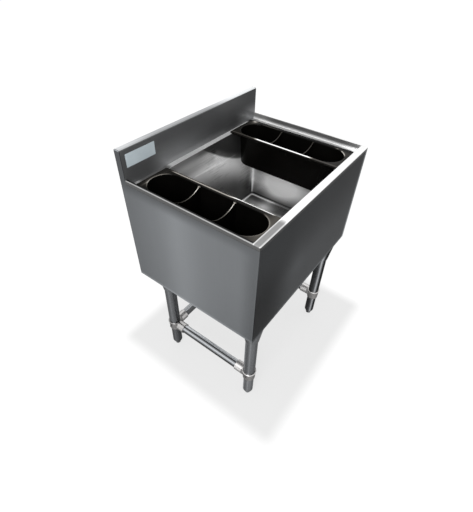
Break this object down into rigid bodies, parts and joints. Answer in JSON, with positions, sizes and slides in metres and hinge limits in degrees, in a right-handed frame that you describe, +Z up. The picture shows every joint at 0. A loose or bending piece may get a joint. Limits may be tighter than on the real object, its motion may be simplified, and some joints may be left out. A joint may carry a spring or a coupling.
{
  "type": "underbar ice bin",
  "caption": "Insulated stainless ice bin on braced tubular legs, with a low backsplash, a deep drained basin, lift-out bottle holders with dividers, and screw-adjustable feet.",
  "frame": {"origin": "centre of the cabinet's plan on the floor, under the drain", "axes": "+Z up, +Y from the front to the backsplash, +X to the right seen from the front"},
  "size_m": [0.6096, 0.4572, 0.881],
  "materials": {
    "side_steel": "brushed stainless, vertical grain",
    "front_steel": "brushed stainless, vertical grain",
    "back_steel": "mill-finish sheet",
    "rim_steel": "brushed stainless, grain along the rim",
    "splash_steel": "brushed stainless",
    "label": "plain satin label, no text",
    "basin_steel": "brushed stainless liner",
    "foam": "closed-cell foam",
    "drain_steel": "polished stainless",
    "gasket_rubber": "soft black rubber",
    "locknut_brass": "machined brass",
    "socket_steel": "polished stainless",
    "leg_steel": "polished stainless tube",
    "nut_steel": "zinc-plated steel",
    "collar_cast": "bright die casting",
    "brace_steel": "polished stainless tube",
    "foot_steel": "polished stainless",
    "screw_steel": "plated steel",
    "holder_plastic": "glossy black moulding",
    "divider_plastic": "glossy black moulding"
  },
  "bodies": {
    "cabinet": {"left_side_panel": "side_steel", "right_side_panel": "side_steel", "front_panel": "front_steel", "back_panel": "back_steel", "bottom_panel": "back_steel", "rim_frame": "rim_steel", "backsplash": "splash_steel", "label_plate": "label", "basin": "basin_steel", "basin_insulation": "foam", "left_leg_channel": "back_steel", "right_leg_channel": "back_steel", "drain_body": "drain_steel", "drain_gasket": "gasket_rubber", "drain_locknut": "locknut_brass", "front_left_socket": "socket_steel", "front_right_socket": "socket_steel", "rear_left_socket": "socket_steel", "rear_right_socket": "socket_steel", "front_left_leg": "leg_steel", "front_right_leg": "leg_steel", "rear_left_leg": "leg_steel", "rear_right_leg": "leg_steel", "front_left_leg_nut": "nut_steel", "front_right_leg_nut": "nut_steel", "rear_left_leg_nut": "nut_steel", "rear_right_leg_nut": "nut_steel", "front_left_collar": "collar_cast", "front_right_collar": "collar_cast", "rear_left_collar": "collar_cast", "rear_right_collar": "collar_cast", "left_brace": "brace_steel", "right_brace": "brace_steel", "rear_brace": "brace_steel", "socket_set_screws": "screw_steel", "collar_set_screws": "screw_steel", "stub_set_screws": "screw_steel"},
    "strainer": {"drain_strainer": "drain_steel"},
    "foot_front_left": {"front_left_foot": "foot_steel"},
    "foot_front_right": {"front_right_foot": "foot_steel"},
    "foot_rear_left": {"rear_left_foot": "foot_steel"},
    "foot_rear_right": {"rear_right_foot": "foot_steel"},
    "holder_left": {"left_bottle_holder": "holder_plastic"},
    "holder_right": {"right_bottle_holder": "holder_plastic"},
    "divider_left_front": {"left_front_divider": "divider_plastic"},
    "divider_left_rear": {"left_rear_divider": "divider_plastic"},
    "divider_right_front": {"right_front_divider": "divider_plastic"},
    "divider_right_rear": {"right_rear_divider": "divider_plastic"}
  },
  "joints": [
    {"name": "foot_front_left_height", "type": "slide", "parent": "cabinet", "child": "foot_front_left", "axis": [0, 0, 1], "range_m": [-0.01, 0.02]},
    {"name": "foot_front_right_height", "type": "slide", "parent": "cabinet", "child": "foot_front_right", "axis": [0, 0, 1], "range_m": [-0.01, 0.02]},
    {"name": "foot_rear_left_height", "type": "slide", "parent": "cabinet", "child": "foot_rear_left", "axis": [0, 0, 1], "range_m": [-0.01, 0.02]},
    {"name": "foot_rear_right_height", "type": "slide", "parent": "cabinet", "child": "foot_rear_right", "axis": [0, 0, 1], "range_m": [-0.01, 0.02]},
    {"name": "holder_left_lift", "type": "slide", "parent": "cabinet", "child": "holder_left", "axis": [0, 0, 1], "range_m": [0, 0.15]},
    {"name": "holder_right_lift", "type": "slide", "parent": "cabinet", "child": "holder_right", "axis": [0, 0, 1], "range_m": [0, 0.15]},
    {"name": "divider_left_front_lift", "type": "slide", "parent": "holder_left", "child": "divider_left_front", "axis": [0, 0, 1], "range_m": [0, 0.12]},
    {"name": "divider_left_rear_lift", "type": "slide", "parent": "holder_left", "child": "divider_left_rear", "axis": [0, 0, 1], "range_m": [0, 0.12]},
    {"name": "divider_right_front_lift", "type": "slide", "parent": "holder_right", "child": "divider_right_front", "axis": [0, 0, 1], "range_m": [0, 0.12]},
    {"name": "divider_right_rear_lift", "type": "slide", "parent": "holder_right", "child": "divider_right_rear", "axis": [0, 0, 1], "range_m": [0, 0.12]},
    {"name": "strainer_lift", "type": "slide", "parent": "cabinet", "child": "strainer", "axis": [0, 0, 1], "range_m": [0, 0.34]}
  ]
}
